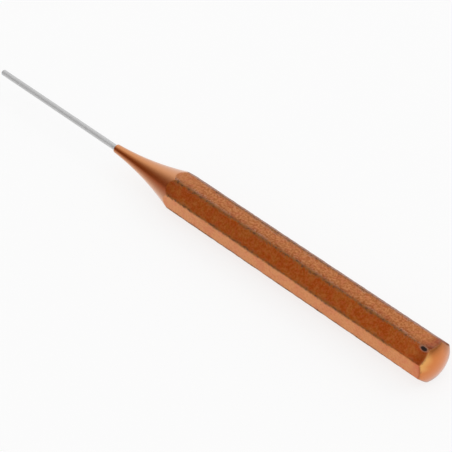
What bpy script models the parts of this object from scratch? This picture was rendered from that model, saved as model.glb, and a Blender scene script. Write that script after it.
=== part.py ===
"""Pin punch: an octagonal steel shank with a crowned striking head, a turned neck and a long thin pin.

The punch is one piece of steel. It starts as a length of octagonal bar, and everything that is round on it
is turned down from that bar: the pin, the concave neck that runs out into the eight flats, and the crown.
The axis lies along X with the pin towards -X, and the shank rests on one of its flats at Z = 0.
"""

import math

import bmesh
import bpy

MM = 0.001

# Driving dimensions of the whole punch
OVERALL_LENGTH = 150.0 * MM
ACROSS_FLATS = 10.0 * MM
FLAT_COUNT = 8
SHANK_EDGE_RADIUS = 0.3 * MM

# Pin
PIN_DIAMETER = 1.5 * MM
PIN_LENGTH = 43.3 * MM
PIN_TIP_CHAMFER = 0.12 * MM
PIN_ROOT_FILLET = 0.2 * MM

# Neck, from its small end at the pin to where the shank has its full corners
NECK_LENGTH = 23.4 * MM
NECK_END_DIAMETER = 2.3 * MM
NECK_END_ROUNDING = 0.15 * MM
NECK_START_ANGLE = math.radians(3.3)

# Crowned striking face
CROWN_RADIUS = 9.5 * MM

# Stock left outside the finished form, so that the turned envelope and the bar cross cleanly
TURNING_ALLOWANCE = 0.4 * MM
BAR_OVERHANG = 2.0 * MM

# Fineness of the round forms
TURNING_STEPS = 96
NECK_SEGMENTS = 16
CROWN_SEGMENTS = 10
SMALL_ARC_SEGMENTS = 4
EDGE_SEGMENTS = 3
MERGE_DISTANCE = 0.001 * MM

# Lacquered steel, as a linear colour
LACQUER_COLOUR = (0.42, 0.12, 0.035, 1.0)
LACQUER_ROUGHNESS = 0.35
LACQUER_METALLIC = 0.8

# Derived sizes
CORNER_RADIUS = ACROSS_FLATS / 2 / math.cos(math.pi / FLAT_COUNT)
PIN_RADIUS = PIN_DIAMETER / 2
NECK_END_RADIUS = NECK_END_DIAMETER / 2
BLANK_RADIUS = CORNER_RADIUS + TURNING_ALLOWANCE


def clear_scene():
    """Remove the objects that the scene starts with."""
    for thing in list(bpy.data.objects):
        bpy.data.objects.remove(thing, do_unlink=True)


def make_collection(name):
    """A new collection under the scene's own."""
    collection = bpy.data.collections.new(name)
    bpy.context.scene.collection.children.link(collection)
    return collection


def make_object(name, mesh, collection):
    """A new object on a mesh, in one collection."""
    thing = bpy.data.objects.new(name, mesh)
    collection.objects.link(thing)
    return thing


def lacquered_steel():
    """The copper-brown lacquer that covers the shank and the neck."""
    material = bpy.data.materials.new("lacquered_steel")
    material.use_nodes = True
    shader = material.node_tree.nodes["Principled BSDF"]
    shader.inputs["Base Color"].default_value = LACQUER_COLOUR
    shader.inputs["Roughness"].default_value = LACQUER_ROUGHNESS
    shader.inputs["Metallic"].default_value = LACQUER_METALLIC
    return material


def arc_points(centre, radius, start, end, segments):
    """Points (distance from the tip, radius) on an arc, from the angle start to the angle end."""
    points = []
    for step in range(segments + 1):
        angle = start + (end - start) * step / segments
        points.append((centre[0] + radius * math.cos(angle), centre[1] + radius * math.sin(angle)))
    return points


def pin_profile():
    """The pin: a flat tip with a chamfer, the straight pin and the fillet at its root."""
    fillet_centre = (PIN_LENGTH - PIN_ROOT_FILLET, PIN_RADIUS + PIN_ROOT_FILLET)
    tip = [(0.0, 0.0), (0.0, PIN_RADIUS - PIN_TIP_CHAMFER), (PIN_TIP_CHAMFER, PIN_RADIUS)]
    return tip + arc_points(fillet_centre, PIN_ROOT_FILLET, -math.pi / 2, 0.0, SMALL_ARC_SEGMENTS)


def neck_profile():
    """The neck: a rounded end face, then one concave arc that meets the shank's corners.

    The arc leaves the end face at NECK_START_ANGLE to the axis and passes through the corner circle at
    NECK_LENGTH. It runs on past that circle, so that it cuts a scallop into each flat.
    """
    rounding_centre = (PIN_LENGTH + NECK_END_ROUNDING, NECK_END_RADIUS - NECK_END_ROUNDING)
    rounding = arc_points(rounding_centre, NECK_END_ROUNDING, math.pi, math.pi / 2 + NECK_START_ANGLE,
                          SMALL_ARC_SEGMENTS)
    start = rounding[-1]
    run = PIN_LENGTH + NECK_LENGTH - start[0]
    rise = CORNER_RADIUS - start[1]
    turn = math.atan2(rise, run) - NECK_START_ANGLE
    arc_radius = math.hypot(run, rise) / (2 * math.sin(turn))
    centre = (start[0] - arc_radius * math.sin(NECK_START_ANGLE),
              start[1] + arc_radius * math.cos(NECK_START_ANGLE))
    start_angle = NECK_START_ANGLE - math.pi / 2
    end_angle = -math.asin((centre[1] - BLANK_RADIUS) / arc_radius)
    return rounding + arc_points(centre, arc_radius, start_angle, end_angle, NECK_SEGMENTS)[1:]


def crown_profile():
    """The crown: a shallow spherical arc from the blank's outer side to the axis."""
    centre = (OVERALL_LENGTH - CROWN_RADIUS, 0.0)
    return arc_points(centre, CROWN_RADIUS, math.asin(BLANK_RADIUS / CROWN_RADIUS), 0.0, CROWN_SEGMENTS)


def turned_envelope(collection):
    """The envelope that the lathe leaves, as a solid of revolution about the punch's axis."""
    points = pin_profile() + neck_profile() + crown_profile()
    vertices = [(radius, 0.0, OVERALL_LENGTH / 2 - distance) for distance, radius in points]
    edges = [(index, index + 1) for index in range(len(vertices) - 1)]
    mesh = bpy.data.meshes.new("turned_envelope")
    mesh.from_pydata(vertices, edges, [])
    envelope = make_object("turned_envelope", mesh, collection)
    envelope.rotation_euler = (0.0, -math.pi / 2, 0.0)
    envelope.location = (0.0, 0.0, ACROSS_FLATS / 2)
    screw = envelope.modifiers.new("turning", 'SCREW')
    screw.axis = 'Z'
    screw.angle = 2 * math.pi
    screw.steps = TURNING_STEPS
    screw.render_steps = TURNING_STEPS
    screw.use_merge_vertices = True
    screw.merge_threshold = MERGE_DISTANCE
    screw.use_smooth_shade = True
    envelope.hide_render = True
    envelope.display_type = 'WIRE'
    return envelope


def octagonal_bar(name, collection):
    """The bar that the punch is made from, with one flat down and its long edges rounded."""
    shape = bmesh.new()
    bmesh.ops.create_cone(shape, cap_ends=True, segments=FLAT_COUNT, radius1=CORNER_RADIUS,
                          radius2=CORNER_RADIUS, depth=OVERALL_LENGTH + 2 * BAR_OVERHANG)
    long_edges = [edge for edge in shape.edges if edge.verts[0].co.z * edge.verts[1].co.z < 0]
    bevel_width = SHANK_EDGE_RADIUS * math.tan(math.pi / FLAT_COUNT)
    bmesh.ops.bevel(shape, geom=long_edges, offset=bevel_width, offset_type='OFFSET',
                    segments=EDGE_SEGMENTS, affect='EDGES')
    mesh = bpy.data.meshes.new(name)
    shape.to_mesh(mesh)
    shape.free()
    bar = make_object(name, mesh, collection)
    bar.rotation_mode = 'ZYX'
    bar.rotation_euler = (0.0, -math.pi / 2, math.pi / FLAT_COUNT)
    bar.location = (0.0, 0.0, ACROSS_FLATS / 2)
    return bar


def pin_punch(collection, cutters):
    """The finished punch: what the bar and the turned envelope have in common."""
    punch = octagonal_bar("pin_punch", collection)
    punch.data.materials.append(lacquered_steel())
    turning = punch.modifiers.new("turning", 'BOOLEAN')
    turning.operation = 'INTERSECT'
    turning.solver = 'EXACT'
    turning.object = turned_envelope(cutters)
    return punch


def main():
    clear_scene()
    collection = make_collection("pin_punch")
    cutters = make_collection("cutters")
    pin_punch(collection, cutters)


main()
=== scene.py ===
"""The finish of a pin punch: copper-brown lacquer on an octagonal shank, worn edges and a bare pin."""

import math

import bpy
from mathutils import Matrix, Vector, noise


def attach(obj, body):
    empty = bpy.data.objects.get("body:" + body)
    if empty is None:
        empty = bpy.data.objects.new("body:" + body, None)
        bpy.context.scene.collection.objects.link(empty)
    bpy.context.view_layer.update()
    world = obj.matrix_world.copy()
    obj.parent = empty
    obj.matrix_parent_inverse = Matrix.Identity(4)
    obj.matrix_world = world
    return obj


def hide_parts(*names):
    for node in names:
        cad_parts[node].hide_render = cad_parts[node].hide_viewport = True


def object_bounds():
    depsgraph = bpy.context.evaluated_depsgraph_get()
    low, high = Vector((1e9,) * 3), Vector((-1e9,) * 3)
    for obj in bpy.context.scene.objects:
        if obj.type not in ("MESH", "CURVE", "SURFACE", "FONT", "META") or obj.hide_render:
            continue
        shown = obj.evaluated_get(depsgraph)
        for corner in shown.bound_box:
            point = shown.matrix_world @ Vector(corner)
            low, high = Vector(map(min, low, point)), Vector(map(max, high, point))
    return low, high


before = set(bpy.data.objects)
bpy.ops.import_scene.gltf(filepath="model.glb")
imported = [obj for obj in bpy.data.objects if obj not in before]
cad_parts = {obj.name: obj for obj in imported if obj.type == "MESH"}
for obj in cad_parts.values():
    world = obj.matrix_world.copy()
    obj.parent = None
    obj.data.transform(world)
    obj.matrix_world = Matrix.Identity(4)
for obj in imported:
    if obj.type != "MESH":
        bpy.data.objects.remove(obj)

bl_info = {
    "name": "Pin Punch",
    "version": (1, 0, 0),
    "blender": (4, 5, 0),
    "location": "View3D > Sidebar > Pin Punch",
    "description": "A lacquered octagonal pin punch on a plain pale floor",
    "category": "Add Mesh",
}

MM = 0.001
CAD_LOW, CAD_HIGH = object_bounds()
CAD_CENTRE = (CAD_LOW + CAD_HIGH) / 2

# Form that the user rarely changes
FLAT_COUNT = 8
FACET_ANGLE = 2 * math.pi / FLAT_COUNT
PIN_TIP_CHAMFER = 0.12 * MM
PIN_ROOT_FILLET = 0.2 * MM
NECK_END_ROUNDING = 0.15 * MM
NECK_START_ANGLE = math.radians(3.3)
TURNING_ALLOWANCE = 0.4 * MM
NECK_CREASE = 0.04 * MM
CROWN_CREASE = 0.55 * MM
SHARP_EDGE_ANGLE = math.radians(40)

# Fineness of the mesh
FLAT_COLUMNS = 18
EDGE_COLUMNS = 6
SMALL_ARC_ROWS = 5
PIN_ROWS = 24
NECK_ROWS = 50
SCALLOP_ROWS = 30
SHANK_ROWS = 300
CROWN_ROWS = 44
TIGHT_ROW = 0.01 * MM

# The share by which a flat's columns crowd toward its edges, and the power by which rows crowd to the rim
COLUMN_CROWDING = 0.4
CROWN_ROW_CROWDING = 1.5

# Unevenness of the flats and the long edges, all of it cut inward from the true form
WAVE_SIZE = 7.0 * MM
WAVE_DEPTH = 0.02 * MM
DIMPLE_SIZE = 1.0 * MM
DIMPLE_DEPTH = 0.008 * MM
UPPER_DIMPLE_DEPTH = 0.022 * MM
NICK_SIZE = 1.3 * MM
NICK_DEPTH = 0.10 * MM
NICK_REACH = 0.35 * MM
NICK_COVER = 0.1

# How fast a flat counts less as the upper one, and the width over which a crease blends flat into turned
UPPER_SHARPNESS = 4
TURNED_BLEND = 0.4 * MM

# The chip in the lacquer, on the flat between the upper one and the near side one, close to the crown
CHIP_FROM_HEAD = 3.0 * MM
CHIP_UP_FROM_MIDDLE = 1.72 * MM
CHIP_LENGTH = 1.7 * MM
CHIP_WIDTH = 0.9 * MM
CHIP_DEPTH = 0.06 * MM
CHIP_FLAT_ANGLE = math.radians(135)

# Where the chip's wall ends at the flat, and the wall's width, as shares of the chip's half size
CHIP_WALL_END = 1.1
CHIP_WALL_WIDTH = 0.3

# Painted shade: the deep tone lies on the flat between the upper and the near side one, and on the flat
# opposite it, and in a stripe down the neck on that side, where dark surroundings reflect. The crown has an
# even deep tone of its own
SHADED_FLAT_ANGLE = math.radians(133)
SHADED_FLAT_SHARPNESS = 4
NECK_RED_SHADE_ANGLE = math.radians(140)
NECK_SHADE_SHARPNESS = 7
CROWN_THICKNESS = 0.35

# The far upper edge has kept more of its lacquer toward both ends of the shank
FAR_EDGE_KEPT = 0.3 * MM
FAR_EDGE_KEPT_FULL = 12.0 * MM
FAR_EDGE_KEPT_END = 26.0 * MM

# How far the grime tint darkens the lacquer. On the upper flat it is oil and dirt with painted shade, and
# along its near edge oil and dirt. It is painted shade on the far upper flat, on the flat between the upper
# and the near side one, on the flats next to the crown, on the neck's near side and round the crown's rim.
# That flat is also darker toward the neck
UPPER_FLAT_GRIME_AND_SHADE = 0.36
UPPER_FLAT_ANGLE = math.radians(90)
SHADED_FLAT_DARKENING = 0.14
EDGE_GRIME = 0.4
EDGE_GRIME_REACH = 1.7 * MM
EDGE_GRIME_SIZE = 1.3 * MM
EDGE_GRIME_CONTRAST = 0.6
BACK_FLAT_SHADE = 0.84
BACK_FLAT_ANGLE = math.radians(45)
HEAD_SHADE = 0.3
UPPER_HEAD_SHADE = 0.34
HEAD_SHADE_REACH = 4.0 * MM
FOOT_DARKENING = 0.22
FOOT_DARKENING_REACH = 5.0 * MM
NECK_DARK_SHADE = 0.72
NECK_DARK_SHADE_ANGLE = math.radians(156)
CROWN_TOP_SHADE = 0.56
CROWN_TOP_SHADE_ANGLE = math.radians(66)
CROWN_TOP_SHADE_WIDTH = 3.1 * MM
FAR_RIM_SHADE = 0.6
FAR_RIM_ANGLE = math.radians(-51)
FAR_RIM_WIDTH = 3.0 * MM
FAR_RIM_FULL = 0.5 * MM
RIM_LINE_ANGLE = math.radians(12)
RIM_LINE_WIDTH = 1.0 * MM

# Painted highlight: a pale band inside the crown's near rim
RIM_HIGHLIGHT_ANGLE = math.radians(145)
RIM_HIGHLIGHT_WIDTH = 3.0 * MM
RIM_HIGHLIGHT_FULL = 0.3 * MM

# The cosine of the angle from its middle at which each patch round the rim starts, and at which it is full
CROWN_TOP_SHADE_SPREAD = (0.35, 0.85)
FAR_RIM_SPREAD = (0.1, 0.7)
RIM_LINE_SPREAD = (0.4, 0.9)
RIM_HIGHLIGHT_SPREAD = (0.78, 0.95)

# Measures of a place that lies far from any long edge or crease, and of one that lies far from the chip
FAR = 9.0 * MM
OUTSIDE_CHIP = 9.0

# Sizes of the finish's patterns, and how deep they go
MOTTLE_SIZE = 0.55 * MM
GRAIN_SIZE = 0.3 * MM
GRAIN_SHARE = 0.4
FLAT_RELIEF = 0.05 * MM
FLAT_RELIEF_STRENGTH = 0.7
FILM_PATCH_SIZE = 2.0 * MM
WEAR_PATCH_SIZE = 4.5 * MM
WEAR_PATCH_REACH = 0.7 * MM
WEAR_RAGGEDNESS = 1.6 * MM
RIM_RAGGEDNESS = 1.2
CHIP_RAGGEDNESS = 0.5
SCALE_SPOT_SIZE = 1.0 * MM
PRIMER_THROUGH_NECK = 0.15

# How the noise of a pattern becomes its faintest and its strongest parts
PIT_NOISE = {"From Min": 0.4, "From Max": 0.6}
FILM_NOISE = {"From Min": 0.43, "From Max": 0.6, "To Max": 0.5}
PRIMER_NOISE = {"From Min": 0.42, "From Max": 0.6}
SCALE_SPOT_NOISE = {"From Min": 0.48, "From Max": 0.58, "To Max": 0.65}

# How strong each part of the finish is, by the distance from a crease or from a long edge
FLAT_START = {"From Min": -0.1 * MM, "From Max": 0.1 * MM}
PITS_FROM_ENDS = {"From Min": 0.0, "From Max": 9.0 * MM, "To Min": 0.5}
DEEP_NEAR_HEAD = {"From Min": 0.0, "From Max": 5.0 * MM, "To Min": 0.95, "To Max": 0.0}
HIGHLIGHT_INSIDE_RIM = {"From Min": -0.1 * MM, "From Max": 0.15 * MM, "To Min": 0.8, "To Max": 0.0}
KEPT_NEAR_HEAD = {"From Min": 2.0 * MM, "From Max": 14.0 * MM, "To Min": 0.33 * MM, "To Max": 0.0}
WORN_ALONG_EDGE = {"From Min": -0.4 * MM, "From Max": 0.3 * MM, "To Min": 0.92, "To Max": 0.0}
WORN_ROUND_RIM = {"From Min": -0.1 * MM, "From Max": 0.6 * MM, "To Min": 0.45, "To Max": 0.0}
PRIMER_START = {"From Min": -0.1 * MM, "From Max": 0.2 * MM, "To Max": 0.35}
PRIMER_END = {"From Min": 0.2 * MM, "From Max": 0.5 * MM, "To Min": 1.0, "To Max": 0.0}

# The chip's black bottom and the primer round it, by shares of the chip's half size
CHIP_BOTTOM = {"From Min": 1.05, "From Max": 1.6, "To Min": 1.0, "To Max": 0.0}
CHIP_RIM = {"From Min": 1.4, "From Max": 2.1, "To Min": 0.42, "To Max": 0.0}

# What changes from the other flats to the upper one
PIT_DIRT_AND_SHADE_BY_FLAT = {"To Min": 0.22, "To Max": 0.38}
RAGGEDNESS_BY_FLAT = {"To Min": 1.0, "To Max": 1.6}

# Gloss of the lacquer: from turned to flat, from kept to bared, and what dulls its clear coat
CRUST_START = {"From Min": 0.68}
ROUGHNESS_BY_FLAT = {"To Min": 0.28, "To Max": 0.4}
WORN_ROUGHER = 0.22
CRUST_ROUGHER = 0.6
METALLIC_BY_WEAR = {"To Min": 0.85, "To Max": 0.45}
CRUST_METALLIC = -0.7
FLAT_DULLNESS = -0.28
DEEP_AND_SHADED_DULLNESS = 0.55
GRIME_AND_SHADE_DULLNESS = 0.7
PIT_DULLNESS = 0.7
COAT_BY_DULLNESS = {"To Min": 1.0, "To Max": 0.0}
COAT_ROUGHNESS = 0.3

# The ground pin: spacing of its rings, their scale round the pin, and their relief and dulled patches
RING_SPACING = 0.12 * MM
RING_SCALE_ROUND = 120.0
RING_RELIEF = 0.004 * MM
RING_RELIEF_STRENGTH = 0.05
DULLED_PATCH_SIZE = 4.0 * MM
STEEL_ROUGHNESS = {"From Min": 0.3, "From Max": 0.7, "To Min": 0.56, "To Max": 0.64}

# The stage, in metres and watts
FLOOR_RADIUS = 4.0
FLOOR_CORNERS = 96
CARD_ROUGHNESS = 0.9
CARD_SPECULAR = 0.2
CARD_WHITENESS = 0.8
SOFTBOX_PLACE = (0.55, 0.75, 0.9)
SOFTBOX_SIZE = 0.5
SOFTBOX_POWER = 1.0
CAMERA_AIM = (6.73 * MM, 0.23 * MM, 3.48 * MM)
CAMERA_CLIP_START = 0.01
CAMERA_CLIP_END = 20.0
SENSOR_WIDTH_IN_MM = 36.0

# Unlit parts of the studio: the direction of each, its inner and outer half angles and its share of dark
UNLIT_PARTS = (((-0.84, -0.53, 0.12), math.radians(12), math.radians(56), 1.0),
               ((0.90, 0.38, 0.15), math.radians(5), math.radians(45), 0.7))


def linear(code, alpha=None):
    """An sRGB hex colour as linear values, with an alpha if one is given."""
    values = []
    for start in (0, 2, 4):
        share = int(code[start:start + 2], 16) / 255
        values.append(share / 12.92 if share <= 0.04045 else ((share + 0.055) / 1.055) ** 2.4)
    return tuple(values) if alpha is None else (*values, alpha)


def colour_property(name, description, code):
    """A colour that the user can change."""
    return bpy.props.FloatVectorProperty(name=name, description=description, subtype='COLOR', size=4,
                                         min=0.0, max=1.0, default=linear(code, 1.0))


def length_property(name, description, default):
    """A length in metres that the user can change."""
    return bpy.props.FloatProperty(name=name, description=description, unit='LENGTH', min=0.0,
                                   precision=5, default=default)


class PunchSizes(bpy.types.PropertyGroup):
    """Sizes of the punch."""

    overall_length: length_property("Overall length", "From the pin's tip to the top of the crown",
                                    CAD_HIGH.x - CAD_LOW.x)
    across_flats: length_property("Across flats", "Width of the shank between opposite flats",
                                  CAD_HIGH.z - CAD_LOW.z)
    edge_radius: length_property("Edge radius", "Rounding of the shank's long edges", 0.3 * MM)
    pin_diameter: length_property("Pin diameter", "Diameter of the bare pin", 1.5 * MM)
    pin_length: length_property("Pin length", "Pin outside the neck", 43.3 * MM)
    neck_length: length_property("Neck length", "From the neck's small end to the full corners", 23.4 * MM)
    neck_end_diameter: length_property("Neck end diameter", "Diameter of the neck at the pin", 2.3 * MM)
    crown_radius: length_property("Crown radius", "Radius of the domed striking face", 9.5 * MM)


class PunchFinish(bpy.types.PropertyGroup):
    """Colours of the punch's finish."""

    lacquer: colour_property("Lacquer", "Copper-brown lacquer where it lies evenly", "D78332")
    # This deep colour also paints shade on the flat between the upper and the near side one and on the neck
    lacquer_deep_and_shaded: colour_property("Deep lacquer", "Redder lacquer where it lies thick", "CE5C06")
    # This pale colour paints a highlight inside the crown's near rim
    lacquer_highlight: colour_property("Thin lacquer", "Lacquer drawn thin over the crown's rim", "E8AA58")
    # This tint is dirt in the pits and on the upper flat, and also paints shade on the flats, the neck and
    # the crown's rim
    grime_and_shade: colour_property("Grime", "Tint of oil and dirt on the lacquer and in the flats' pits", "A68F48")
    worn_edge: colour_property("Worn edge", "Darkened steel along the long edges", "885418")
    chip: colour_property("Chip", "Scale-black steel in the bottom of the chip", "28150E")
    chip_rim: colour_property("Chip rim", "Primer round the chip", "B58F7C")
    steel: colour_property("Pin steel", "Bare ground steel of the pin", "D5D5D5")
    steel_marks: colour_property("Grinding marks", "Grinding marks round the pin", "CDCDCD")


class PunchStage(bpy.types.PropertyGroup):
    """The floor, the light and the camera."""

    floor_colour: colour_property("Floor", "Colour of the plain floor", "F4F4F4")
    bright_side: colour_property("Bright side", "Studio light from all round", "FFFFFF")
    dark_side: colour_property("Dark side", "The unlit parts of the studio, beyond the pin and the head",
                               "7A7674")
    camera_azimuth: bpy.props.FloatProperty(name="Azimuth", description="Camera's bearing round the punch",
                                            subtype='ANGLE', default=math.radians(46.15))
    camera_elevation: bpy.props.FloatProperty(name="Elevation", subtype='ANGLE',
                                              description="Camera's angle above the floor",
                                              default=math.radians(40.4))
    camera_distance: length_property("Distance", "From the camera to the point it aims at", 560.0 * MM)
    camera_lens: bpy.props.FloatProperty(name="Lens", description="Focal length on a 36 mm sensor, in mm",
                                         min=10.0, max=400.0, default=188.4)


class PunchForm:
    """The punch's surface as a distance from its axis, at each distance from the tip and each angle."""

    def __init__(self, sizes):
        self.length = sizes.overall_length
        self.half_width = sizes.across_flats / 2
        self.edge_radius = sizes.edge_radius
        self.corner_centre = (self.half_width - self.edge_radius) / math.cos(FACET_ANGLE / 2)
        self.flat_half = (self.half_width - self.edge_radius) * math.tan(FACET_ANGLE / 2)
        self.pin_radius = sizes.pin_diameter / 2
        self.pin_length = sizes.pin_length
        self.neck_end_radius = sizes.neck_end_diameter / 2
        self.true_corner = self.half_width / math.cos(FACET_ANGLE / 2)
        self.blank_radius = self.true_corner + TURNING_ALLOWANCE
        self.crown_radius = sizes.crown_radius
        self.crown_centre = self.length - self.crown_radius
        self.set_neck(sizes.pin_length + sizes.neck_length)

    def set_neck(self, corner_distance):
        """Lay the neck's arc from its small end through the corner circle."""
        self.neck_start = (self.pin_length + NECK_END_ROUNDING * (1 - math.sin(NECK_START_ANGLE)),
                           self.neck_end_radius - NECK_END_ROUNDING * (1 - math.cos(NECK_START_ANGLE)))
        run = corner_distance - self.neck_start[0]
        rise = self.true_corner - self.neck_start[1]
        turn = math.atan2(rise, run) - NECK_START_ANGLE
        self.neck_arc = math.hypot(run, rise) / (2 * math.sin(turn))
        self.neck_centre = (self.neck_start[0] - self.neck_arc * math.sin(NECK_START_ANGLE),
                            self.neck_start[1] + self.neck_arc * math.cos(NECK_START_ANGLE))

    def section(self, angle):
        """Distance from the axis to the octagon with rounded long edges."""
        from_flat = (angle + FACET_ANGLE / 2) % FACET_ANGLE - FACET_ANGLE / 2
        if abs(math.tan(from_flat)) * self.half_width <= self.flat_half:
            return self.half_width / math.cos(from_flat)
        from_corner = FACET_ANGLE / 2 - abs(from_flat)
        across = self.corner_centre * math.sin(from_corner)
        return self.corner_centre * math.cos(from_corner) + math.sqrt(self.edge_radius ** 2 - across ** 2)

    def edge_distance(self, angle):
        """Distance along the section from the nearest long edge."""
        from_flat = (angle + FACET_ANGLE / 2) % FACET_ANGLE - FACET_ANGLE / 2
        corner = self.half_width * math.tan(FACET_ANGLE / 2)
        return max(0.0, corner - self.half_width * abs(math.tan(from_flat)))

    def neck_distance_at(self, radius):
        """Distance from the tip at which the neck's arc has a radius."""
        drop = self.neck_centre[1] - radius
        return self.neck_centre[0] + math.sqrt(self.neck_arc ** 2 - drop ** 2)

    def crown_distance_at(self, radius):
        """Distance from the tip at which the crown has a radius."""
        return self.crown_centre + math.sqrt(self.crown_radius ** 2 - radius ** 2)

    def columns(self):
        """Angles round the axis, close together over the long edges."""
        angles = []
        tangent = math.atan2(self.flat_half, self.half_width)
        for facet in range(FLAT_COUNT):
            middle = facet * FACET_ANGLE
            for column in range(FLAT_COLUMNS):
                share = 2 * column / FLAT_COLUMNS - 1
                crowded = math.sin(share * math.pi / 2)
                across = self.flat_half * ((1 - COLUMN_CROWDING) * share + COLUMN_CROWDING * crowded)
                angles.append(middle + math.atan2(across, self.half_width))
            for column in range(EDGE_COLUMNS):
                angles.append(middle + tangent + (FACET_ANGLE - 2 * tangent) * column / EDGE_COLUMNS)
        return angles

    def pin_rows(self):
        """(distance from the tip, radius) down the pin, from its flat tip to the root's fillet."""
        flat_radius = self.pin_radius - PIN_TIP_CHAMFER
        straight = self.pin_length - PIN_ROOT_FILLET
        rows = [(0.0, flat_radius / 2), (0.0, flat_radius), (TIGHT_ROW, flat_radius + TIGHT_ROW),
                (PIN_TIP_CHAMFER - TIGHT_ROW, self.pin_radius - TIGHT_ROW)]
        for step in range(PIN_ROWS):
            rows.append((PIN_TIP_CHAMFER + (straight - PIN_TIP_CHAMFER) * step / PIN_ROWS, self.pin_radius))
        for step in range(SMALL_ARC_ROWS + 1):
            angle = math.pi / 2 * step / SMALL_ARC_ROWS
            rows.append((straight + PIN_ROOT_FILLET * math.sin(angle),
                         self.pin_radius + PIN_ROOT_FILLET * (1 - math.cos(angle))))
        return rows

    def body_rows(self):
        """(distance from the tip, turned radius) from the neck's small end over the shank to the crown."""
        rows = []
        for step in range(SMALL_ARC_ROWS + 1):
            angle = (math.pi / 2 - NECK_START_ANGLE) * step / SMALL_ARC_ROWS
            rows.append((self.pin_length + NECK_END_ROUNDING * (1 - math.cos(angle)),
                         self.neck_end_radius - NECK_END_ROUNDING * (1 - math.sin(angle))))
        scallop = self.neck_distance_at(self.half_width - WAVE_DEPTH)
        shank = self.neck_distance_at(self.blank_radius)
        crown = self.crown_distance_at(self.blank_radius)
        for low, high, count in ((rows[-1][0], scallop, NECK_ROWS), (scallop, shank, SCALLOP_ROWS)):
            for step in range(1, count + 1):
                distance = low + (high - low) * step / count
                reach = distance - self.neck_centre[0]
                rows.append((distance, self.neck_centre[1] - math.sqrt(self.neck_arc ** 2 - reach ** 2)))
        for step in range(1, SHANK_ROWS):
            rows.append((shank + (crown - shank) * step / SHANK_ROWS, self.blank_radius))
        start = math.asin(self.blank_radius / self.crown_radius)
        for step in range(CROWN_ROWS):
            angle = start * (1 - (step / CROWN_ROWS) ** CROWN_ROW_CROWDING)
            rows.append((self.crown_centre + self.crown_radius * math.cos(angle),
                         self.crown_radius * math.sin(angle)))
        return rows


def eased_minimum(first, second, ease):
    """The smaller of two lengths, eased where they cross."""
    blend = max(ease - abs(first - second), 0.0) / ease
    return min(first, second) - ease * blend * blend / 4


def flat_angle(angle):
    """The angle of the middle of the flat that an angle falls on."""
    return round(angle / FACET_ANGLE) * FACET_ANGLE


def deep_tone_and_shade(angle, side_angle, sharpness):
    """1 on the two opposite sides that carry the deep tone and painted shade, and 0 between them."""
    return math.cos(angle - side_angle) ** (2 * sharpness)


def smooth_share(value, low, high):
    """0 below low and 1 above high, with a smooth rise between them."""
    share = min(1.0, max(0.0, (value - low) / (high - low)))
    return share * share * (3 - 2 * share)


def flat_grime_and_shade(place, angle, edge, upper, thick_and_shaded):
    """The darkening on a flat: grime with painted shade on the upper flat, patchy grime toward its near
    edge, and painted shade on the far upper flat and on the flat between the upper and the near side one.
    """
    # Painted shade: the far upper flat is darkened heavily, which also makes it a matt crust
    if math.isclose(flat_angle(angle), BACK_FLAT_ANGLE):
        return BACK_FLAT_SHADE
    # Grime with painted shade on the upper flat, painted shade on the flat between the upper and the near
    # side one
    grime_and_shade = UPPER_FLAT_GRIME_AND_SHADE * upper + SHADED_FLAT_DARKENING * thick_and_shaded
    if UPPER_FLAT_ANGLE < angle < UPPER_FLAT_ANGLE + FACET_ANGLE / 2:
        patchy = 1 + EDGE_GRIME_CONTRAST * noise.noise(place / EDGE_GRIME_SIZE)
        grime_and_shade += EDGE_GRIME * patchy * max(0.0, 1 - edge / EDGE_GRIME_REACH)
    return grime_and_shade


def worn_edge_distance(angle, edge, from_crease):
    """Distance from the long edge as its wear sees it: larger where the edge has kept more lacquer."""
    if BACK_FLAT_ANGLE < angle < UPPER_FLAT_ANGLE:
        edge += FAR_EDGE_KEPT * (1 - smooth_share(from_crease, FAR_EDGE_KEPT_FULL, FAR_EDGE_KEPT_END))
    return edge


def crown_rim_shade_and_highlight(from_crease, angle):
    """Painted shade over the top and the far side of the crown's rim, and a painted highlight on its near
    side.
    """
    top = smooth_share(math.cos(angle - CROWN_TOP_SHADE_ANGLE), *CROWN_TOP_SHADE_SPREAD)
    far = smooth_share(math.cos(angle - FAR_RIM_ANGLE), *FAR_RIM_SPREAD)
    line = smooth_share(math.cos(angle - RIM_LINE_ANGLE), *RIM_LINE_SPREAD)
    grime_and_shade = max(CROWN_TOP_SHADE * top * smooth_share(from_crease, -CROWN_TOP_SHADE_WIDTH, 0.0),
                FAR_RIM_SHADE * far * smooth_share(from_crease, -FAR_RIM_WIDTH, -FAR_RIM_FULL),
                line * smooth_share(from_crease, -RIM_LINE_WIDTH, 0.0))
    near = smooth_share(math.cos(angle - RIM_HIGHLIGHT_ANGLE), *RIM_HIGHLIGHT_SPREAD)
    highlight = (1 - top) * near * smooth_share(from_crease, -RIM_HIGHLIGHT_WIDTH, -RIM_HIGHLIGHT_FULL)
    return grime_and_shade, highlight


def chip_share(form, distance, angle):
    """0 in the middle of the chip and 1 on its outline, growing outside it."""
    along = (distance - (form.length - CHIP_FROM_HEAD)) / (CHIP_LENGTH / 2)
    off = (angle - CHIP_FLAT_ANGLE + math.pi) % (2 * math.pi) - math.pi
    if abs(off) > FACET_ANGLE:
        return OUTSIDE_CHIP
    across = (-form.half_width * math.tan(off) - CHIP_UP_FROM_MIDDLE) / (CHIP_WIDTH / 2)
    return min(OUTSIDE_CHIP, math.hypot(along, across))


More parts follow.
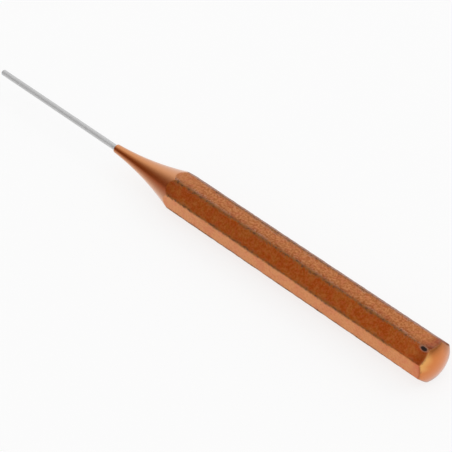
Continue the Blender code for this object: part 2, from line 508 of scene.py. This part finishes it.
def uneven_depth(place, upper, edge, on_turned):
    """How far the flats' waves, dimples and nicked edges lie under the true form."""
    wave = WAVE_DEPTH * (0.5 + 0.5 * noise.noise(place / WAVE_SIZE))
    dimple = DIMPLE_DEPTH + (UPPER_DIMPLE_DEPTH - DIMPLE_DEPTH) * upper
    dimple *= 0.5 + 0.5 * noise.noise(place / DIMPLE_SIZE)
    nick = max(0.0, noise.noise(place / NICK_SIZE) + NICK_COVER)
    nick *= NICK_DEPTH * math.exp(-(edge / NICK_REACH) ** 2)
    return (wave + dimple + nick) * (1 - on_turned)


def punch_point(form, distance, radius, angle, section, edge):
    """A point's distance from the axis on the neck, shank or crown, and the measures its finish needs."""
    near_crown = distance > form.length / 2
    crease = CROWN_CREASE if near_crown else NECK_CREASE
    true_radius = eased_minimum(section, radius, crease)
    if near_crown:
        from_crease = form.crown_distance_at(section) - distance
    else:
        from_crease = distance - form.neck_distance_at(section)
    if radius < section:
        from_crease = -math.hypot(from_crease, section - radius)
    on_turned = min(1.0, max(0.0, 0.5 - from_crease / TURNED_BLEND))
    upper = max(0.0, math.sin(flat_angle(angle))) ** UPPER_SHARPNESS
    place = Vector((distance, true_radius * math.cos(angle), true_radius * math.sin(angle)))
    depth = uneven_depth(place, upper, edge, on_turned)
    chip = chip_share(form, distance, angle) if near_crown else OUTSIDE_CHIP
    depth += CHIP_DEPTH * min(1.0, max(0.0, (CHIP_WALL_END - chip) / CHIP_WALL_WIDTH))
    # Painted shade on the flat between the upper and the near side one, through the deep tone
    flat_shade = deep_tone_and_shade(flat_angle(angle), SHADED_FLAT_ANGLE, SHADED_FLAT_SHARPNESS)
    grime_and_shade = flat_grime_and_shade(place, angle, edge, upper, flat_shade)
    if near_crown:
        # Painted shade on the flats next to the crown's rim
        head_shade = HEAD_SHADE * flat_shade + UPPER_HEAD_SHADE * upper
        grime_and_shade += head_shade * (1 - smooth_share(from_crease, 0.0, HEAD_SHADE_REACH))
        # Painted shade over the crown's rim, and a painted highlight inside its near side
        turned_shade, highlight = crown_rim_shade_and_highlight(from_crease, angle)
        turned_deep_and_shade = CROWN_THICKNESS * (1 - turned_shade)
    else:
        highlight = 0.0
        # The flat between the upper and the near side one darker toward the neck
        grime_and_shade += FOOT_DARKENING * flat_shade * (1 - smooth_share(from_crease, 0.0, FOOT_DARKENING_REACH))
        # Painted reflection of dark surroundings: a redder stripe and a darker one down the neck, lower on
        # the near side
        turned_deep_and_shade = deep_tone_and_shade(angle, NECK_RED_SHADE_ANGLE, NECK_SHADE_SHARPNESS)
        turned_shade = NECK_DARK_SHADE * deep_tone_and_shade(angle, NECK_DARK_SHADE_ANGLE, NECK_SHADE_SHARPNESS)
    # The deep tone: painted shade on the flats and the neck, and the crown's own even tone
    thick_and_shaded = flat_shade * (1 - on_turned) + turned_deep_and_shade * on_turned
    grime_and_shade = grime_and_shade * (1 - on_turned) + turned_shade * on_turned
    worn_edge = worn_edge_distance(angle, edge, from_crease)
    return true_radius - depth, (worn_edge, from_crease, chip, float(near_crown), thick_and_shaded, upper, grime_and_shade, highlight)


# The measures that each vertex carries for the finish, and their values on the pin and on top of the crown
# Two of these measures carry painted shade besides the lacquer's tone and dirt, and one carries a painted
# highlight
MEASURES = ("edge_distance", "crease_distance", "chip_share", "crown_end",
            "deep_tone_and_shade", "upper_flat", "grime_and_shade", "rim_highlight")
PIN_MEASURES = (FAR, FAR, OUTSIDE_CHIP, 0.0, 0.0, 0.0, 0.0, 0.0)
CROWN_TOP_MEASURES = (FAR, -FAR, OUTSIDE_CHIP, 1.0, CROWN_THICKNESS, 0.0, 0.0, 0.0)
STEEL_SLOT = 0
LACQUER_SLOT = 1


def punch_surface(form):
    """Vertices, faces, each face's material slot and each vertex's measures for the whole punch."""
    angles = form.columns()
    wide = len(angles)
    sections = [form.section(angle) for angle in angles]
    edges = [form.edge_distance(angle) for angle in angles]
    vertices = [(0.0, 0.0, 0.0)]
    measures = [PIN_MEASURES]
    pin_rows = form.pin_rows()
    for distance, radius in pin_rows:
        for angle in angles:
            vertices.append((distance, radius * math.cos(angle), radius * math.sin(angle)))
            measures.append(PIN_MEASURES)
    body_rows = form.body_rows()
    for distance, radius in body_rows:
        for angle, section, edge in zip(angles, sections, edges):
            out, point_measures = punch_point(form, distance, radius, angle, section, edge)
            vertices.append((distance, out * math.cos(angle), out * math.sin(angle)))
            measures.append(point_measures)
    vertices.append((form.length, 0.0, 0.0))
    measures.append(CROWN_TOP_MEASURES)
    faces = []
    slots = []
    last_row = len(pin_rows) + len(body_rows) - 1
    for column in range(wide):
        following = (column + 1) % wide
        faces.append((0, 1 + following, 1 + column))
        slots.append(STEEL_SLOT)
        for row in range(last_row):
            low = 1 + row * wide
            high = low + wide
            faces.append((low + column, low + following, high + following, high + column))
            slots.append(STEEL_SLOT if row < len(pin_rows) - 1 else LACQUER_SLOT)
        last = 1 + last_row * wide
        faces.append((last + column, last + following, len(vertices) - 1))
        slots.append(LACQUER_SLOT)
    return vertices, faces, slots, measures


def add_node(tree, kind, inputs=None, **settings):
    """Add a shader node. inputs maps a socket to a value, or to the output that feeds it."""
    node = tree.nodes.new(kind)
    for name, value in settings.items():
        setattr(node, name, value)
    for socket, value in (inputs or {}).items():
        if isinstance(value, bpy.types.NodeSocket):
            tree.links.new(value, node.inputs[socket])
        else:
            node.inputs[socket].default_value = value
    return node


def new_material(name):
    """A material with an empty node tree, its shader and that shader's tree."""
    material = bpy.data.materials.new(name)
    material.use_nodes = True
    tree = material.node_tree
    tree.nodes.clear()
    shader = add_node(tree, "ShaderNodeBsdfPrincipled")
    add_node(tree, "ShaderNodeOutputMaterial", {"Surface": shader.outputs[0]})
    return material, tree, shader


def flat_pits(tree, measure, on_flat, mottle):
    """1 in the forged flats' shallow pits and 0 between them, fainter toward both ends of the flats."""
    pits = add_node(tree, "ShaderNodeMapRange", {"Value": mottle, **PIT_NOISE}).outputs[0]
    from_crease = measure["crease_distance"]
    from_ends = add_node(tree, "ShaderNodeMapRange", {"Value": from_crease, **PITS_FROM_ENDS},
                         interpolation_type='SMOOTHSTEP').outputs[0]
    for share in (on_flat, from_ends):
        pits = add_node(tree, "ShaderNodeMath", {0: pits, 1: share}, operation='MULTIPLY').outputs[0]
    return pits


def lacquer_ground(tree, finish, place, measure, on_flat, pits):
    """The lacquer's colour: deeper near the head and where the deep tone paints shade, dirtier in the
    flats' pits, and darker where the grime tint paints shade.
    """
    film = add_node(tree, "ShaderNodeTexNoise", {"Vector": place, "Scale": 1 / FILM_PATCH_SIZE,
                                                 "Detail": 3.0, "Roughness": 0.65}).outputs["Fac"]
    film = add_node(tree, "ShaderNodeMapRange", {"Value": film, **FILM_NOISE}).outputs[0]
    film = add_node(tree, "ShaderNodeMath", {0: film, 1: on_flat}, operation='MULTIPLY').outputs[0]
    from_crease = measure["crease_distance"]
    near_head = add_node(tree, "ShaderNodeMapRange", {"Value": from_crease, **DEEP_NEAR_HEAD},
                         interpolation_type='SMOOTHSTEP').outputs[0]
    for share in (measure["crown_end"], on_flat):
        near_head = add_node(tree, "ShaderNodeMath", {0: near_head, 1: share},
                             operation='MULTIPLY').outputs[0]
    deep_and_shaded = add_node(tree, "ShaderNodeMath", {0: near_head, 1: measure["deep_tone_and_shade"]},
                    operation='MAXIMUM').outputs[0]
    # The uneven film: it lightens the deep tone and painted shade where they are strong, and deepens a
    # little where they aren't
    deep_and_shaded = add_node(tree, "ShaderNodeMath", {0: deep_and_shaded, 1: film}, operation='SUBTRACT').outputs[0]
    deep_and_shaded = add_node(tree, "ShaderNodeMath", {0: deep_and_shaded}, operation='ABSOLUTE').outputs[0]
    colour = add_node(tree, "ShaderNodeMix", {"Factor": deep_and_shaded, "A": finish.lacquer,
                                              "B": finish.lacquer_deep_and_shaded}, data_type='RGBA').outputs["Result"]
    # The grime tint: dirt in the pits, heavier on the upper flat where it adds painted shade, and the grime
    # measure's dirt and painted shade
    reach = add_node(tree, "ShaderNodeMapRange", {"Value": measure["upper_flat"],
                                                  **PIT_DIRT_AND_SHADE_BY_FLAT}).outputs[0]
    dirt_and_shade = add_node(tree, "ShaderNodeMath", {0: pits, 1: reach, 2: measure["grime_and_shade"]},
                      operation='MULTIPLY_ADD').outputs[0]
    return add_node(tree, "ShaderNodeMix", {"Factor": dirt_and_shade, "A": colour, "B": finish.grime_and_shade},
                    data_type='RGBA', blend_type='MULTIPLY').outputs["Result"]


def primer_through_neck(tree, finish, measure, on_flat, colour):
    """A little of the primer, shown through the turned neck's lacquer, less where the neck carries painted
    shade.
    """
    show = PRIMER_THROUGH_NECK
    for share in (on_flat, measure["crown_end"], measure["deep_tone_and_shade"]):
        rest = add_node(tree, "ShaderNodeMath", {0: 1.0, 1: share}, operation='SUBTRACT').outputs[0]
        show = add_node(tree, "ShaderNodeMath", {0: show, 1: rest}, operation='MULTIPLY').outputs[0]
    return add_node(tree, "ShaderNodeMix", {"Factor": show, "A": colour, "B": finish.chip_rim},
                    data_type='RGBA').outputs["Result"]


def highlight_over_rim(tree, finish, measure, colour):
    """A painted highlight: a pale soft band inside the crown's near rim."""
    from_crease = measure["crease_distance"]
    outer = add_node(tree, "ShaderNodeMapRange", {"Value": from_crease, **HIGHLIGHT_INSIDE_RIM},
                     interpolation_type='SMOOTHSTEP').outputs[0]
    band = add_node(tree, "ShaderNodeMath", {0: measure["rim_highlight"], 1: outer},
                    operation='MULTIPLY').outputs[0]
    return add_node(tree, "ShaderNodeMix", {"Factor": band, "A": colour, "B": finish.lacquer_highlight},
                    data_type='RGBA').outputs["Result"]


def edge_wear(tree, place, measure, on_flat, mottle):
    """How worn the lacquer is, along the ragged long edges and round the rim, and where primer shows.

    Near the head the long edges have kept more of their lacquer, so the bared line breaks up there.
    """
    patches = add_node(tree, "ShaderNodeTexNoise", {"Vector": place, "Scale": 1 / WEAR_PATCH_SIZE,
                                                    "Detail": 1.0}).outputs["Fac"]
    ragged = add_node(tree, "ShaderNodeMath", {0: mottle, 1: WEAR_RAGGEDNESS, 2: -WEAR_RAGGEDNESS / 2},
                      operation='MULTIPLY_ADD').outputs[0]
    rougher = add_node(tree, "ShaderNodeMapRange", {"Value": measure["upper_flat"],
                                                    **RAGGEDNESS_BY_FLAT}).outputs[0]
    long_ragged = add_node(tree, "ShaderNodeMath", {0: ragged, 1: rougher},
                           operation='MULTIPLY').outputs[0]
    long_ragged = add_node(tree, "ShaderNodeMath", {0: patches, 1: -WEAR_PATCH_REACH, 2: long_ragged},
                           operation='MULTIPLY_ADD').outputs[0]
    kept_near_head = add_node(tree, "ShaderNodeMapRange", {"Value": measure["crease_distance"],
                                                           **KEPT_NEAR_HEAD},
                              interpolation_type='SMOOTHSTEP').outputs[0]
    kept_near_head = add_node(tree, "ShaderNodeMath", {0: kept_near_head, 1: measure["crown_end"]},
                              operation='MULTIPLY').outputs[0]
    reach = measure["edge_distance"]
    for part in (long_ragged, kept_near_head):
        reach = add_node(tree, "ShaderNodeMath", {0: reach, 1: part}, operation='ADD').outputs[0]
    along_edge = add_node(tree, "ShaderNodeMapRange", {"Value": reach, **WORN_ALONG_EDGE},
                          interpolation_type='SMOOTHSTEP').outputs[0]
    along_edge = add_node(tree, "ShaderNodeMath", {0: along_edge, 1: on_flat},
                          operation='MULTIPLY').outputs[0]
    from_rim = add_node(tree, "ShaderNodeMath", {0: measure["crease_distance"]},
                        operation='ABSOLUTE').outputs[0]
    from_rim = add_node(tree, "ShaderNodeMath", {0: ragged, 1: RIM_RAGGEDNESS, 2: from_rim},
                        operation='MULTIPLY_ADD').outputs[0]
    round_rim = add_node(tree, "ShaderNodeMapRange", {"Value": from_rim, **WORN_ROUND_RIM},
                         interpolation_type='SMOOTHSTEP').outputs[0]
    round_rim = add_node(tree, "ShaderNodeMath", {0: round_rim, 1: measure["crown_end"]},
                         operation='MULTIPLY').outputs[0]
    worn = add_node(tree, "ShaderNodeMath", {0: along_edge, 1: round_rim}, operation='MAXIMUM').outputs[0]

    # A pale line of primer beside the bared edge, on the upper flat's side of it
    primer = add_node(tree, "ShaderNodeMapRange", {"Value": reach, **PRIMER_START},
                      interpolation_type='SMOOTHSTEP').outputs[0]
    primer_end = add_node(tree, "ShaderNodeMapRange", {"Value": reach, **PRIMER_END},
                          interpolation_type='SMOOTHSTEP').outputs[0]
    in_patches = add_node(tree, "ShaderNodeMapRange", {"Value": patches, **PRIMER_NOISE}).outputs[0]
    for share in (primer_end, in_patches, measure["upper_flat"], on_flat):
        primer = add_node(tree, "ShaderNodeMath", {0: primer, 1: share}, operation='MULTIPLY').outputs[0]
    return worn, primer


def spotted_edge(tree, finish, place):
    """The worn edges' darkened steel, with spots of black scale left on it."""
    spots = add_node(tree, "ShaderNodeTexNoise", {"Vector": place, "Scale": 1 / SCALE_SPOT_SIZE,
                                                  "Detail": 2.0}).outputs["Fac"]
    spots = add_node(tree, "ShaderNodeMapRange", {"Value": spots, **SCALE_SPOT_NOISE},
                     interpolation_type='SMOOTHSTEP').outputs[0]
    return add_node(tree, "ShaderNodeMix", {"Factor": spots, "A": finish.worn_edge, "B": finish.chip},
                    data_type='RGBA').outputs["Result"]


def stoved_lacquer(finish):
    """Copper-brown lacquer, sprayed and stoved on forged steel.

    It is clear and glossy on the turned neck and crown. On the forged flats it is mottled and satin. Along
    the long edges it has worn through to darkened steel, and one chip near the crown shows black scale.
    """
    material, tree, shader = new_material("stoved_copper_lacquer_on_forged_steel")
    place = add_node(tree, "ShaderNodeTexCoord").outputs["Object"]
    measure = {name: add_node(tree, "ShaderNodeAttribute", attribute_name=name).outputs["Fac"]
               for name in MEASURES}
    on_flat = add_node(tree, "ShaderNodeMapRange", {"Value": measure["crease_distance"], **FLAT_START},
                       interpolation_type='SMOOTHSTEP').outputs[0]
    mottle = add_node(tree, "ShaderNodeTexNoise", {"Vector": place, "Scale": 1 / MOTTLE_SIZE, "Detail": 3.0,
                                                   "Roughness": 0.65}).outputs["Fac"]
    grain = add_node(tree, "ShaderNodeTexNoise", {"Vector": place, "Scale": 1 / GRAIN_SIZE, "Detail": 2.0,
                                                  "Roughness": 0.5}).outputs["Fac"]
    pits = flat_pits(tree, measure, on_flat, mottle)
    colour = lacquer_ground(tree, finish, place, measure, on_flat, pits)
    colour = primer_through_neck(tree, finish, measure, on_flat, colour)
    # Painted highlight inside the crown's near rim
    colour = highlight_over_rim(tree, finish, measure, colour)
    worn, primer = edge_wear(tree, place, measure, on_flat, mottle)
    colour = add_node(tree, "ShaderNodeMix", {"Factor": primer, "A": colour, "B": finish.chip_rim},
                      data_type='RGBA').outputs["Result"]
    bared_edge = spotted_edge(tree, finish, place)
    colour = add_node(tree, "ShaderNodeMix", {"Factor": worn, "A": colour, "B": bared_edge},
                      data_type='RGBA').outputs["Result"]

    # The chip, with pale primer round it
    rough_chip = add_node(tree, "ShaderNodeMath", {0: grain, 1: CHIP_RAGGEDNESS, 2: measure["chip_share"]},
                          operation='MULTIPLY_ADD').outputs[0]
    in_rim = add_node(tree, "ShaderNodeMapRange", {"Value": rough_chip, **CHIP_RIM},
                      interpolation_type='SMOOTHSTEP').outputs[0]
    in_chip = add_node(tree, "ShaderNodeMapRange", {"Value": rough_chip, **CHIP_BOTTOM},
                       interpolation_type='SMOOTHSTEP').outputs[0]
    for share, bare in ((in_rim, finish.chip_rim), (in_chip, finish.chip)):
        colour = add_node(tree, "ShaderNodeMix", {"Factor": share, "A": colour, "B": bare},
                          data_type='RGBA').outputs["Result"]

    # Where grime and painted shade are heaviest they are a matt crust; lighter grime, painted shade and
    # dirt in the pits only dull the gloss
    crust = add_node(tree, "ShaderNodeMapRange", {"Value": measure["grime_and_shade"], **CRUST_START},
                     interpolation_type='SMOOTHSTEP').outputs[0]
    roughness = add_node(tree, "ShaderNodeMapRange", {"Value": on_flat, **ROUGHNESS_BY_FLAT}).outputs[0]
    for share, rise in ((worn, WORN_ROUGHER), (crust, CRUST_ROUGHER)):
        roughness = add_node(tree, "ShaderNodeMath", {0: share, 1: rise, 2: roughness},
                             operation='MULTIPLY_ADD').outputs[0]
    bared = add_node(tree, "ShaderNodeMath", {0: worn, 1: in_rim}, operation='MAXIMUM').outputs[0]
    metallic = add_node(tree, "ShaderNodeMapRange", {"Value": bared, **METALLIC_BY_WEAR}).outputs[0]
    metallic = add_node(tree, "ShaderNodeMath", {0: crust, 1: CRUST_METALLIC, 2: metallic},
                        operation='MULTIPLY_ADD', use_clamp=True).outputs[0]
    dull = add_node(tree, "ShaderNodeMath", {0: on_flat, 1: FLAT_DULLNESS}, operation='MULTIPLY').outputs[0]
    for share, part in ((measure["deep_tone_and_shade"], DEEP_AND_SHADED_DULLNESS), (measure["grime_and_shade"], GRIME_AND_SHADE_DULLNESS),
                        (pits, PIT_DULLNESS)):
        dull = add_node(tree, "ShaderNodeMath", {0: share, 1: part, 2: dull},
                        operation='MULTIPLY_ADD').outputs[0]
    for share in (bared, crust):
        dull = add_node(tree, "ShaderNodeMath", {0: dull, 1: share}, operation='MAXIMUM').outputs[0]
    coat = add_node(tree, "ShaderNodeMapRange", {"Value": dull, **COAT_BY_DULLNESS})
    height = add_node(tree, "ShaderNodeMath", {0: grain, 1: GRAIN_SHARE, 2: mottle},
                      operation='MULTIPLY_ADD').outputs[0]
    height = add_node(tree, "ShaderNodeMath", {0: height, 1: on_flat}, operation='MULTIPLY').outputs[0]
    bump = add_node(tree, "ShaderNodeBump", {"Height": height, "Strength": FLAT_RELIEF_STRENGTH,
                                             "Distance": FLAT_RELIEF})
    tree.links.new(colour, shader.inputs["Base Color"])
    tree.links.new(roughness, shader.inputs["Roughness"])
    tree.links.new(metallic, shader.inputs["Metallic"])
    tree.links.new(coat.outputs[0], shader.inputs["Coat Weight"])
    tree.links.new(bump.outputs[0], shader.inputs["Normal"])
    shader.inputs["Coat Roughness"].default_value = COAT_ROUGHNESS
    return material


def ground_steel(finish):
    """Tool steel, centreless ground: bright, with fine rings round the pin that blur reflections along it.

    The real grinding marks are about 0.02 mm apart. They are drawn 0.12 mm apart, so that they show.
    """
    material, tree, shader = new_material("centreless_ground_tool_steel")
    place = add_node(tree, "ShaderNodeTexCoord").outputs["Object"]
    scale = (1 / RING_SPACING, RING_SCALE_ROUND, RING_SCALE_ROUND)
    along = add_node(tree, "ShaderNodeMapping", {"Vector": place, "Scale": scale})
    rings = add_node(tree, "ShaderNodeTexNoise", {"Vector": along.outputs[0], "Scale": 1.0, "Detail": 2.0,
                                                  "Roughness": 0.7}).outputs["Fac"]
    dulled = add_node(tree, "ShaderNodeTexNoise", {"Vector": place, "Scale": 1 / DULLED_PATCH_SIZE,
                                                   "Detail": 2.0})
    shade = add_node(tree, "ShaderNodeMix", {"Factor": rings, "A": finish.steel, "B": finish.steel_marks},
                     data_type='RGBA')
    roughness = add_node(tree, "ShaderNodeMapRange", {"Value": dulled.outputs["Fac"], **STEEL_ROUGHNESS})
    bump = add_node(tree, "ShaderNodeBump", {"Height": rings, "Strength": RING_RELIEF_STRENGTH,
                                             "Distance": RING_RELIEF})
    tree.links.new(shade.outputs["Result"], shader.inputs["Base Color"])
    tree.links.new(roughness.outputs[0], shader.inputs["Roughness"])
    tree.links.new(bump.outputs[0], shader.inputs["Normal"])
    shader.inputs["Metallic"].default_value = 1.0
    return material


def studio_floor(stage):
    """Matt white card. The camera and reflections see it near white, with the object's shadow on it."""
    material, tree, shader = new_material("matt_white_card")
    shader.inputs["Base Color"].default_value = stage.floor_colour
    shader.inputs["Roughness"].default_value = CARD_ROUGHNESS
    shader.inputs["Specular IOR Level"].default_value = CARD_SPECULAR
    path = add_node(tree, "ShaderNodeLightPath")
    seen = path.outputs["Is Camera Ray"]
    for ray in ("Is Glossy Ray", "Is Transmission Ray"):
        seen = add_node(tree, "ShaderNodeMath", {0: seen, 1: path.outputs[ray]},
                        operation='MAXIMUM').outputs[0]
    share = add_node(tree, "ShaderNodeMath", {0: seen, 1: CARD_WHITENESS}, operation='MULTIPLY')
    white = add_node(tree, "ShaderNodeEmission", {"Color": (1.0, 1.0, 1.0, 1.0), "Strength": 1.0})
    mixed = add_node(tree, "ShaderNodeMixShader", {0: share.outputs[0], 1: shader.outputs[0],
                                                   2: white.outputs[0]})
    output = next(node for node in tree.nodes if node.type == 'OUTPUT_MATERIAL')
    tree.links.new(mixed.outputs[0], output.inputs["Surface"])
    return material


def studio_world(stage):
    """Even white studio light, with two unlit parts low down, beyond the pin and beyond the head."""
    world = bpy.data.worlds.new("soft_studio")
    world.use_nodes = True
    tree = world.node_tree
    tree.nodes.clear()
    direction = add_node(tree, "ShaderNodeTexCoord").outputs["Generated"]
    colour = stage.bright_side
    for toward, inner, outer, share in UNLIT_PARTS:
        along = add_node(tree, "ShaderNodeVectorMath", {0: direction, 1: Vector(toward).normalized()},
                         operation='DOT_PRODUCT').outputs["Value"]
        unlit = add_node(tree, "ShaderNodeMapRange", {"Value": along, "From Min": math.cos(outer),
                                                      "From Max": math.cos(inner), "To Max": share},
                         interpolation_type='SMOOTHSTEP').outputs[0]
        colour = add_node(tree, "ShaderNodeMix", {"Factor": unlit, "A": colour, "B": stage.dark_side},
                          data_type='RGBA').outputs["Result"]
    background = add_node(tree, "ShaderNodeBackground", {"Color": colour, "Strength": 1.0})
    add_node(tree, "ShaderNodeOutputWorld", {"Surface": background.outputs[0]})
    return world


def add_floor(stage):
    """A plain floor under the punch, large enough for every view."""
    bpy.ops.mesh.primitive_circle_add(vertices=FLOOR_CORNERS, radius=FLOOR_RADIUS, fill_type='NGON',
                                      location=(0.0, 0.0, 0.0))
    floor = bpy.context.object
    floor.name = "studio_floor"
    floor.data.materials.append(studio_floor(stage))


def add_softbox(name, location, target, size, power):
    """A square softbox aimed at a point. Only its light and its reflection show."""
    light = bpy.data.lights.new(name, 'AREA')
    light.shape = 'SQUARE'
    light.size = size
    light.energy = power
    box = bpy.data.objects.new(name, light)
    bpy.context.scene.collection.objects.link(box)
    box.location = location
    box.rotation_euler = (Vector(target) - Vector(location)).to_track_quat('-Z', 'Y').to_euler()
    box.visible_camera = False
    return box


def add_camera(stage):
    """The camera at the photograph's bearing and height, on a long lens."""
    lens = bpy.data.cameras.new("camera")
    lens.lens = stage.camera_lens
    lens.sensor_width = SENSOR_WIDTH_IN_MM
    lens.clip_start = CAMERA_CLIP_START
    lens.clip_end = CAMERA_CLIP_END
    camera = bpy.data.objects.new("camera", lens)
    bpy.context.scene.collection.objects.link(camera)
    azimuth = stage.camera_azimuth
    elevation = stage.camera_elevation
    back = Vector((math.sin(azimuth) * math.cos(elevation), -math.cos(azimuth) * math.cos(elevation),
                   math.sin(elevation)))
    camera.location = Vector(CAMERA_AIM) + back * stage.camera_distance
    camera.rotation_euler = (-back).to_track_quat('-Z', 'Y').to_euler()
    bpy.context.scene.camera = camera


class PUNCH_OT_add_punch(bpy.types.Operator):
    """Add the punch as one surface: bare pin, turned neck, eight flats and crown"""

    bl_idname = "pin_punch.add_punch"
    bl_label = "Add Punch"

    def execute(self, context):
        form = PunchForm(context.scene.punch_sizes)
        finish = context.scene.punch_finish
        vertices, faces, slots, measures = punch_surface(form)
        mesh = bpy.data.meshes.new("lacquered_pin_punch")
        start = CAD_LOW.x
        height = CAD_CENTRE.z
        mesh.from_pydata([(start + x, y, height + z) for x, y, z in vertices], [], faces)
        mesh.materials.append(ground_steel(finish))
        mesh.materials.append(stoved_lacquer(finish))
        mesh.polygons.foreach_set("material_index", slots)
        for index, name in enumerate(MEASURES):
            layer = mesh.attributes.new(name, 'FLOAT', 'POINT')
            layer.data.foreach_set("value", [row[index] for row in measures])
        mesh.shade_smooth()
        mesh.set_sharp_from_angle(angle=SHARP_EDGE_ANGLE)
        punch = bpy.data.objects.new("lacquered_pin_punch", mesh)
        context.scene.collection.objects.link(punch)
        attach(punch, "root")
        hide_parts("pin_punch")
        return {'FINISHED'}


class PUNCH_OT_add_stage(bpy.types.Operator):
    """Add the plain floor, the soft studio light and the camera"""

    bl_idname = "pin_punch.add_stage"
    bl_label = "Add Stage"

    def execute(self, context):
        stage = context.scene.punch_stage
        add_floor(stage)
        context.scene.world = studio_world(stage)
        add_softbox("key_softbox", SOFTBOX_PLACE, (0.0, 0.0, 0.0), SOFTBOX_SIZE, SOFTBOX_POWER)
        add_camera(stage)
        context.scene.view_settings.view_transform = 'Standard'
        return {'FINISHED'}


class PUNCH_PT_panel(bpy.types.Panel):
    """The punch's pieces, sizes and colours"""

    bl_idname = "PUNCH_PT_panel"
    bl_label = "Pin Punch"
    bl_space_type = 'VIEW_3D'
    bl_region_type = 'UI'
    bl_category = "Pin Punch"

    def draw(self, context):
        layout = self.layout
        for operator in (PUNCH_OT_add_punch, PUNCH_OT_add_stage):
            layout.operator(operator.bl_idname)
        for group in (context.scene.punch_sizes, context.scene.punch_finish, context.scene.punch_stage):
            box = layout.box()
            for name in group.bl_rna.properties.keys():
                if name not in {"name", "rna_type"}:
                    box.prop(group, name)


CLASSES = (PunchSizes, PunchFinish, PunchStage, PUNCH_OT_add_punch, PUNCH_OT_add_stage, PUNCH_PT_panel)


def register():
    for cls in CLASSES:
        bpy.utils.register_class(cls)
    bpy.types.Scene.punch_sizes = bpy.props.PointerProperty(type=PunchSizes)
    bpy.types.Scene.punch_finish = bpy.props.PointerProperty(type=PunchFinish)
    bpy.types.Scene.punch_stage = bpy.props.PointerProperty(type=PunchStage)


def unregister():
    del bpy.types.Scene.punch_stage
    del bpy.types.Scene.punch_finish
    del bpy.types.Scene.punch_sizes
    for cls in reversed(CLASSES):
        bpy.utils.unregister_class(cls)


def main():
    register()
    bpy.ops.pin_punch.add_punch()
    bpy.ops.pin_punch.add_stage()


if __name__ == "__main__":
    main()
